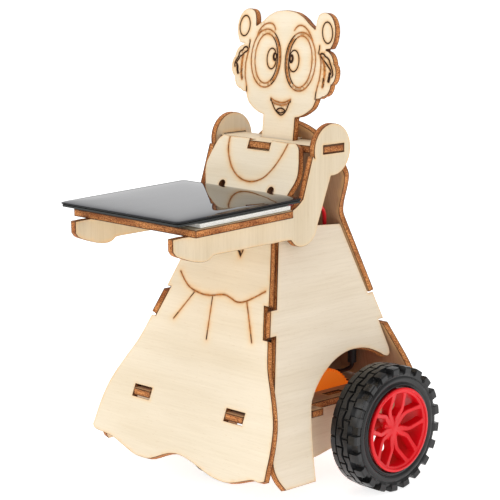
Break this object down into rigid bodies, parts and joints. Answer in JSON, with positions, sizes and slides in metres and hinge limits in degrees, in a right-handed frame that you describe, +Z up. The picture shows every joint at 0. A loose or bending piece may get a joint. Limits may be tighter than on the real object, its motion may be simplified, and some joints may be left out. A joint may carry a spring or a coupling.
{
  "type": "solar robot chassis kit",
  "caption": "Plywood robot kit shaped as a figure in a flared skirt, holding a solar panel on a tray, with a motor, spur gears, large rear wheels and small front wheels.",
  "frame": {"origin": "centre of the bounding box, on the ground under the wheels", "axes": "+Z up; the figure faces -Y; +X is the figure's left, along both axles"},
  "size_m": [0.1224, 0.1186, 0.1779],
  "materials": {
    "wood": "laser-cut basswood plywood with scorched edges",
    "foam": "white foam tape",
    "board": "thin circuit board",
    "resin": "clear resin over dark cells",
    "steel": "bright steel",
    "brass": "tinned brass tab",
    "orange": "moulded orange nylon",
    "white": "moulded white nylon",
    "red": "moulded red plastic",
    "rubber": "black rubber",
    "black": "moulded black plastic",
    "pvc_red": "red lead insulation",
    "pvc_black": "black lead insulation"
  },
  "bodies": {
    "chassis": {"head": "wood", "shoulder_plate": "wood", "front_panel": "wood", "back_panel": "wood", "side_panel_left": "wood", "side_panel_right": "wood", "arm_left": "wood", "arm_right": "wood", "tray": "wood", "floor_plate": "wood", "bearer_left": "wood", "bearer_right": "wood", "front_hanger": "wood", "foam_strip_left": "foam", "foam_strip_right": "foam", "solar_board": "board", "solar_resin": "resin", "axle_sleeve_left": "white", "axle_sleeve_right": "white", "motor_can": "steel", "motor_cap": "white", "motor_clip": "black", "motor_tab_a": "brass", "motor_tab_b": "brass", "front_axle": "steel", "wire_red": "pvc_red", "wire_black": "pvc_black", "wire_sleeve": "black"},
    "rear_axle_set": {"rear_axle": "steel", "drive_gear": "orange", "wheel_rim_left": "red", "wheel_rim_right": "red", "tyre_left": "rubber", "tyre_right": "rubber"},
    "motor_rotor": {"motor_shaft": "steel", "pinion": "white"},
    "front_wheel_left": {"front_wheel_left": "black"},
    "front_wheel_right": {"front_wheel_right": "black"}
  },
  "joints": [
    {"name": "axle_spin", "type": "hinge", "parent": "chassis", "child": "rear_axle_set", "pos_m": [0, 0.0267, 0.024], "axis": [1, 0, 0], "continuous": true},
    {"name": "motor_spin", "type": "hinge", "parent": "chassis", "child": "motor_rotor", "pos_m": [0.0203, 0.01945, 0.04115], "axis": [1, 0, 0], "continuous": true},
    {"name": "front_wheel_left_spin", "type": "hinge", "parent": "chassis", "child": "front_wheel_left", "pos_m": [0.0057, -0.0063, 0.01], "axis": [1, 0, 0], "continuous": true},
    {"name": "front_wheel_right_spin", "type": "hinge", "parent": "chassis", "child": "front_wheel_right", "pos_m": [-0.0057, -0.0063, 0.01], "axis": [1, 0, 0], "continuous": true}
  ],
  "couplings": [
    {"joint": "motor_spin", "follows": "axle_spin", "ratio": -6.4}
  ]
}
